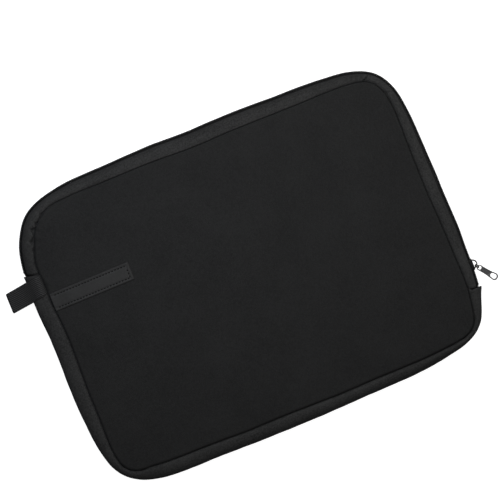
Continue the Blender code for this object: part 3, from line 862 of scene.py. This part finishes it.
def build_stops(mats):
    for name, start, end, level, half_height, node, body in (
            ("end_clamp", ZIP_START + 1.6, ZIP_START + 4.1, MID, 3.3, "zip_end_clamp", "sleeve"),
            ("front_stop", ZIP_END - 4.6, ZIP_END - 2.3, MID + 1.9, 1.5, "front_zip_stop", None),
            ("back_stop", ZIP_END - 4.6, ZIP_END - 2.3, MID - 1.9, 1.5, "back_zip_stop", "sleeve")):
        stop = stop_object(name, start, end, level, half_height, mats["slider_enamel"])
        finish_piece(stop, (node,), body)


def build_bindings(mats):
    """Ribbed tape folded over the seam allowances inside the pocket."""
    ring = Stations(0.0, PERIMETER, 3.0)
    section = []
    half_w, half_h, radius = 1.1, 2.4, 0.9
    for cx, cz, first in ((1, 1, 0), (-1, 1, 90), (-1, -1, 180), (1, -1, 270)):
        for a in np.radians(first + 30.0 * np.arange(4)):
            section.append((cx * (half_w - radius) + radius * math.cos(a),
                            cz * (half_h - radius) + radius * math.sin(a)))
    section = np.array(section)
    sway = (0.25 * hum(ring.arc, 9, 25.0))[:, None]
    inset = seam_inset(ring.arc)[:, None] + 1.9 + section[None, :, 0] + sway
    height = THICK - 7.0 + section[None, :, 1] + 0.15 * sway
    build_pair("binding", ring, (inset, height, None), mats["binding_tape"], "seam_binding", ("base", "flap"),
               rows_close=True)


# ---- hang loop and patch

def build_hang_loop(mats):
    """Twill webbing folded into a loop, over the rim from the front seam."""
    slope, half_width, wall = 0.121, 9.8, 1.5
    tip = -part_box("hang_loop")[0].x / MM - HALF_L
    radius = MID + 0.55 + wall / 2

    def over_rim(*degrees):
        return [(SEAM_INSET - radius * math.sin(a), MID + radius * math.cos(a)) for a in np.radians(degrees)]

    line = [(SEAM_INSET + run, THICK - drop) for run, drop in ((1.4, 4.2), (0.6, 2.3), (-1.2, 0.3))]
    line += over_rim(14.0, 26.0, 38.0, 48.0)
    line += [(-4.5, MID + 5.4), (-12.0, MID + 3.0), (2.6 - tip, MID + 2.1)]
    for a in np.radians((60.0, 20.0, -20.0, -60.0)):
        line.append((2.4 - tip - 1.7 * math.cos(a), MID + 1.9 * math.sin(a)))
    line += [(2.6 - tip, MID - 2.1), (-12.0, MID - 3.0), (-4.5, MID - 5.4)]
    line += over_rim(132.0, 145.0)
    middle = curve_through(line, 5)
    across = np.linspace(-1.0, 1.0, 21)
    round_edge = np.sqrt(np.clip(1 - np.clip((np.abs(across) - 0.93) / 0.07, 0, 1) ** 2, 0, 1))
    half_wall = (wall / 2 * np.maximum(round_edge, 0.12))[None, :, None]
    out = -side_of(middle)[:, None, :] * half_wall
    centre = middle[:, None, :]
    flat = np.concatenate([centre + out, (centre - out)[:, ::-1]], 1)
    width = np.concatenate([across, across[::-1]]) * half_width
    y = LOOP_Y - slope * (SEAM_INSET - flat[:, :, 0]) + width[None, :]
    grid = np.stack([flat[:, :, 0] - HALF_L, y, np.maximum(flat[:, :, 1], 0.0)], -1)
    loop = grid_object("webbing_loop", grid, mats["webbing"], smooth=60)
    finish_piece(loop, ("hang_loop",), "sleeve")


def build_label(mats, loft):
    """Plain patch sewn to the face, puffed between its stitches and its edges."""
    low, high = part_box("label_patch")
    left, right, bottom, top = low.x / MM, high.x / MM, low.y / MM, high.y / MM
    x, y = np.meshgrid(np.arange(left, right + 0.01, 0.5), np.linspace(bottom, top, 37), indexing="ij")
    to_edge = np.minimum(np.minimum(y - bottom, top - y), right - x)
    to_stitch = np.abs(to_edge - STITCH_INSET)
    puff = 0.95 - 0.2 * np.exp(-(to_stitch / 0.9) ** 2) - 0.75 * np.exp(-(to_edge / 0.5) ** 2)
    base = THICK + loft(x, y) + 0.05
    verts = np.concatenate([np.stack([x, y, height], -1).reshape(-1, 3) for height in (base + puff, base)])
    rows, cols = x.shape
    index = np.arange(rows * cols).reshape(rows, cols)
    faces = []
    for layer in (index, index + rows * cols):
        cells = np.stack([layer[:-1, :-1], layer[1:, :-1], layer[1:, 1:], layer[:-1, 1:]], -1)
        faces += cells.reshape(-1, 4).tolist()
    rim = np.concatenate([index[:, 0], index[-1, 1:], index[-2::-1, -1], index[0, -2:0:-1]])
    faces += quads(rim[None], rim[None] + rows * cols)
    patch = mesh_object("plain_patch", verts, faces, mats["patch_leather"], smooth=60)
    finish_piece(patch, ("label_patch",), "sleeve")
    xs, ys = (left + STITCH_INSET, right - STITCH_INSET), (bottom + STITCH_INSET, top - STITCH_INSET)
    build_stitches(mats, loft, [(xs[i], ys[j]) for i, j in ((0, 0), (1, 0), (1, 1), (0, 1))])


def build_stitches(mats, loft, corners):
    """Separate thread stitches along the lines between the corners."""
    sides, steps = 8, 7
    verts, faces = [], []
    for (x0, y0), (x1, y1) in zip(corners, corners[1:]):
        run = math.hypot(x1 - x0, y1 - y0)
        ux, uy = (x1 - x0) / run, (y1 - y0) / run
        for k in range(int(run / STITCH_PITCH)):
            base = len(verts)
            for t in np.linspace(0.0, 1.0, steps):
                radius = THREAD_RADIUS * math.sqrt(max(0.04, 1 - (2 * t - 1) ** 4))
                along = k * STITCH_PITCH + 0.4 + STITCH_LENGTH * t
                cx, cy = x0 + ux * along, y0 + uy * along
                face = THICK + loft(np.array([cx]), np.array([cy]))[0]
                cz = face + 0.68 + 0.2 * math.sin(math.pi * t)
                for a in np.arange(sides) * math.pi / 4:
                    across = radius * math.cos(a)
                    verts.append((cx - uy * across, cy + ux * across, cz + radius * math.sin(a)))
            rings = base + np.arange(sides * steps).reshape(steps, sides)
            faces += quads(rings[:-1], rings[1:]) + [rings[0, ::-1].tolist(), rings[-1].tolist()]
    thread = mesh_object("patch_stitches", verts, faces, mats["thread"], smooth=70)
    finish_piece(thread, ("label_stitching",), "sleeve")


# ---- slider and pull

def joint_place(name):
    """Where a joint stands, in millimetres."""
    return Vector(JOINTS[name]["pos_m"]) / MM


def set_in_place(obj, matrix):
    """Moves a mesh modelled in its own frame to its place."""
    place = matrix.copy()
    place.translation = matrix.translation * MM
    obj.data.transform(place)


def join_meshes(objs, name):
    """Joins parts of one piece, with their modifiers applied."""
    bm = bmesh.new()
    graph = bpy.context.evaluated_depsgraph_get()
    mat = objs[0].data.materials[0]
    for obj in objs:
        bm.from_object(obj, graph)
    for obj in objs:
        bpy.data.objects.remove(obj)
    return object_from_bmesh(name, bm, mat)


def slider_shell(mat):
    """Outer plate of the slider with its two flanges, narrower at the closing end."""
    rows = []
    for v in (-5.5, -5.3, -4.9, -4.3, -3.2, -1.5, 0.5, 2.5, 3.8, 4.6, 5.2, 5.5):
        end = max(0.0, abs(v) - 4.0) / 1.55
        half = 3.2 + 0.8 * min(1.0, (v + 5.5) / 7.0) - 1.3 * (1 - math.sqrt(1 - end ** 2))
        face = -0.35 * end ** 2
        lip = -3.2 + 1.3 * end ** 2
        path = [(lip, -half), (-0.5, -half), (face - 0.15, 0.3 - half), (face, 1.0 - half),
                (face + 0.05, 0.0)]
        inner = [(lip, 0.7 - half), (-0.9, 0.7 - half), (-0.6, 1.1 - half), (-0.6, 0.0)]
        loop = path + [(u, -w) for u, w in path[-2::-1]] + [(u, -w) for u, w in inner] + inner[-2::-1]
        rows.append([(u, v, w) for u, w in loop])
    return grid_object("slider_shell", np.array(rows), mat)


def flat_bar(name, path, half_height, half_wall, mat):
    """Strap of rounded rectangular section along a path in the XY plane."""
    line = curve_through(path, 6)
    side = side_of(line)
    columns = []
    for a in 2 * math.pi * np.arange(12) / 12:
        across = half_wall * math.copysign(abs(math.cos(a)) ** 0.5, math.cos(a))
        height = half_height * math.copysign(abs(math.sin(a)) ** 0.5, math.sin(a))
        columns.append(np.column_stack([line + side * across, np.full(len(line), height)]))
    return grid_object(name, np.stack(columns, 1), mat)


def build_slider(mats):
    centre = joint_place("pull_swing")
    near_black = mats["slider_enamel"]
    body = join_meshes([slider_shell(near_black),
                        flat_bar("bridge", BRIDGE_PATH, 0.9, 0.62, near_black),
                        flat_bar("web", [(-5.7, 0.0), (-3.0, 0.0), (-0.5, 0.0)], 0.2, 4.0, near_black),
                        flat_bar("rear_plate", [(-6.1, -5.4), (-6.1, 0.0), (-6.1, 5.4)], 2.4, 0.55, near_black)],
                       "zip_slider")
    set_in_place(body, Matrix.Translation(centre))
    finish_piece(body, ("slider_body",), "slider")
    heading = Matrix.Rotation(PULL_DIRECTION, 4, "Z")
    link = wire_ring("slider_link", *LINK_SPAN, LINK_HALF, LINK_WIRE, near_black)
    set_in_place(link, Matrix.Translation(centre) @ heading @ Matrix.Rotation(LINK_TURN, 4, "X"))
    finish_piece(link, ("pull_link",), "pull_link")
    pull = pull_plate(mats["pull_metal"])
    pivot = Matrix.Translation(joint_place("pull_lift"))
    set_in_place(pull, pivot @ heading @ Matrix.Rotation(PULL_DROOP, 4, "Y"))
    finish_piece(pull, ("pull_tab",), "pull_tab")


def wire_ring(name, start, end, half_height, wire, mat):
    """Oval wire ring in the XZ plane, from x = start to x = end."""
    around, sides = 40, 12
    a = np.arange(around) * 2 * math.pi / around
    reach = (end - start) / 2
    centre = np.stack([start + reach * (1 + np.cos(a)), np.zeros(around), half_height * np.sin(a)], 1)
    out = np.stack([half_height * np.cos(a), np.zeros(around), reach * np.sin(a)], 1)
    out /= np.linalg.norm(out, axis=1)[:, None]
    b = np.arange(sides) * 2 * math.pi / sides
    grid = centre[:, None] + wire * (out[:, None] * np.cos(b)[None, :, None]
                                     + np.array([0.0, 1.0, 0.0]) * np.sin(b)[None, :, None])
    return grid_object(name, grid, mat, rows_close=True)


def oval(first, last, r_first, r_last, waist=0.0):
    """Loop round two circles on the X axis, with sides that may draw in between them."""
    loop = []
    count = 16
    for cx, r, a0 in ((first, r_first, 90.0), (last, r_last, -90.0)):
        for i in range(count + 1):
            a = math.radians(a0 + 180.0 * i / count)
            loop.append((cx + r * math.cos(a), r * math.sin(a)))
        ends = ((first, -r_first), (last, -r_last)) if cx == first else ((last, r_last), (first, r_first))
        (x0, y0), (x1, y1) = ends
        for t in np.linspace(0, 1, 9)[1:-1]:
            x, y = x0 + (x1 - x0) * t, y0 + (y1 - y0) * t
            loop.append((x, y - math.copysign(waist * math.sin(math.pi * t), y)))
    return loop


def pull_plate(mat):
    """Zip pull: waisted plate with a hole at each end and a sunk panel between them."""
    outer = oval(1.5, 21.5, 2.65, 3.45, waist=0.4)
    near_hole = oval(1.5, 2.6, 1.85, 1.6)
    far_hole = oval(17.8, 21.5, 2.0, 2.35)
    panel = oval(6.1, 12.8, 1.6, 1.6, waist=0.1)
    rim = plate_object("pull_rim", outer, [near_hole, panel, far_hole], 1.2, mat, bevel=0.42)
    core = plate_object("pull_core", oval(6.1, 12.8, 1.75, 1.75), [], 0.7, mat)
    return join_meshes([rim, core], "zip_pull")


# ---- stage

FLOOR_REACH, FLOOR_LEVEL = 6.0, -0.0006      # metres
SKY = 0.42
LIGHTS = (("key", (0.08, 0.17, 0.52), 0.4, 2.0, (1.0, 1.0, 0.98)),      # place, size, watts and colour
          ("side", (0.66, 0.22, 0.15), 0.3, 2.0, (1.0, 1.0, 1.0)),
          ("kicker", (-0.16, 0.24, 0.35), 0.25, 0.6, (0.8, 0.86, 1.0)))


def build_stage():
    """Pale glowing floor that fabric and metal don't see, soft sky and three lamps."""
    shader = Shader("studio_floor", (0.5, 0.5, 0.5), 0.9, specular=0.1)
    shader.set(shader.surface, **{"Emission Color": (1.0, 1.0, 1.0, 1.0), "Emission Strength": 0.9})
    mesh = bpy.data.meshes.new("studio_floor")
    signs = ((-1, -1), (1, -1), (1, 1), (-1, 1))
    mesh.from_pydata([(FLOOR_REACH * x, FLOOR_REACH * y, FLOOR_LEVEL) for x, y in signs], [], [(0, 1, 2, 3)])
    mesh.materials.append(shader.mat)
    floor = add_object("studio_floor", mesh)
    floor.visible_diffuse = False
    floor.visible_glossy = False
    world = bpy.data.worlds.new("studio")
    bpy.context.scene.world = world
    world.use_nodes = True
    tree = world.node_tree
    direction = tree.nodes.new("ShaderNodeSeparateXYZ")
    tree.links.new(tree.nodes.new("ShaderNodeTexCoord").outputs["Generated"], direction.inputs["Vector"])
    sky = tree.nodes.new("ShaderNodeMapRange")
    for key, value in (("From Min", -0.1), ("From Max", 0.3), ("To Min", 0.05), ("To Max", SKY)):
        sky.inputs[key].default_value = value
    tree.links.new(direction.outputs["Z"], sky.inputs["Value"])
    tree.links.new(sky.outputs["Result"], tree.nodes["Background"].inputs["Strength"])
    tree.nodes["Background"].inputs["Color"].default_value = (1.0, 1.0, 1.0, 1.0)
    for name, place, size, power, colour in LIGHTS:
        light = bpy.data.lights.new(name, "AREA")
        light.shape = "DISK"
        light.size = size
        light.energy = power
        light.color = colour
        lamp = add_object(name, light)
        lamp.location = place
        lamp.rotation_euler = (-Vector(place)).to_track_quat("-Z", "Y").to_euler()
    bpy.context.scene.view_settings.view_transform = "Standard"
    bpy.context.scene.view_settings.look = "None"


def build_camera():
    """Straight down, turned so that the sleeve's long side rises to the right."""
    aim, turn, field, distance = (0.0089, 0.0206), math.radians(-22.5), 0.465, 2.6
    camera = bpy.data.cameras.new("camera")
    camera.sensor_width = 36.0
    camera.lens = 36.0 * (distance - MID * MM) / field
    obj = add_object("camera", camera)
    obj.location = (aim[0], aim[1], distance)
    obj.rotation_euler = (0.0, 0.0, turn)
    bpy.context.scene.camera = obj


MATERIALS = (
    (knit_material, "knit_face", (0.009, 0.0091, 0.0091), {}),
    (knit_material, "gusset_fabric", (0.015, 0.015, 0.0149), {"stitch": 1.1, "contrast": 0.6}),
    (foam_material, "foam_core", (0.05, 0.05, 0.05), {}),
    (knit_material, "lining_knit", (0.02, 0.02, 0.022), {"stitch": 1.6}),
    (tape_material, "zip_tape", (0.006, 0.006, 0.0061), {}),
    (nylon_material, "zip_coil", (0.008, 0.008, 0.008), {}),
    (tape_material, "binding_tape", (0.015, 0.015, 0.015), {}),
    (webbing_material, "webbing", (0.0095, 0.0095, 0.0096), {}),
    (leather_material, "patch_leather", (0.0106, 0.0106, 0.0105), {}),
    (thread_material, "thread", (0.0022, 0.0022, 0.0022), {}),
    (metal_material, "pull_metal", (0.15, 0.15, 0.153), {}),
    # slider, stops and link: near-black, much darker than the pull
    (near_black_material, "slider_enamel", (0.0045, 0.0045, 0.0045), {}))

mats = {name: make(name, colour, **weave) for make, name, colour, weave in MATERIALS}
build_camera()
build_stage()
loft = inflate_panel()
build_panels(mats, loft)
build_gussets(mats)
build_zip(mats)
build_stops(mats)
build_bindings(mats)
build_hang_loop(mats)
build_label(mats, loft)
build_slider(mats)
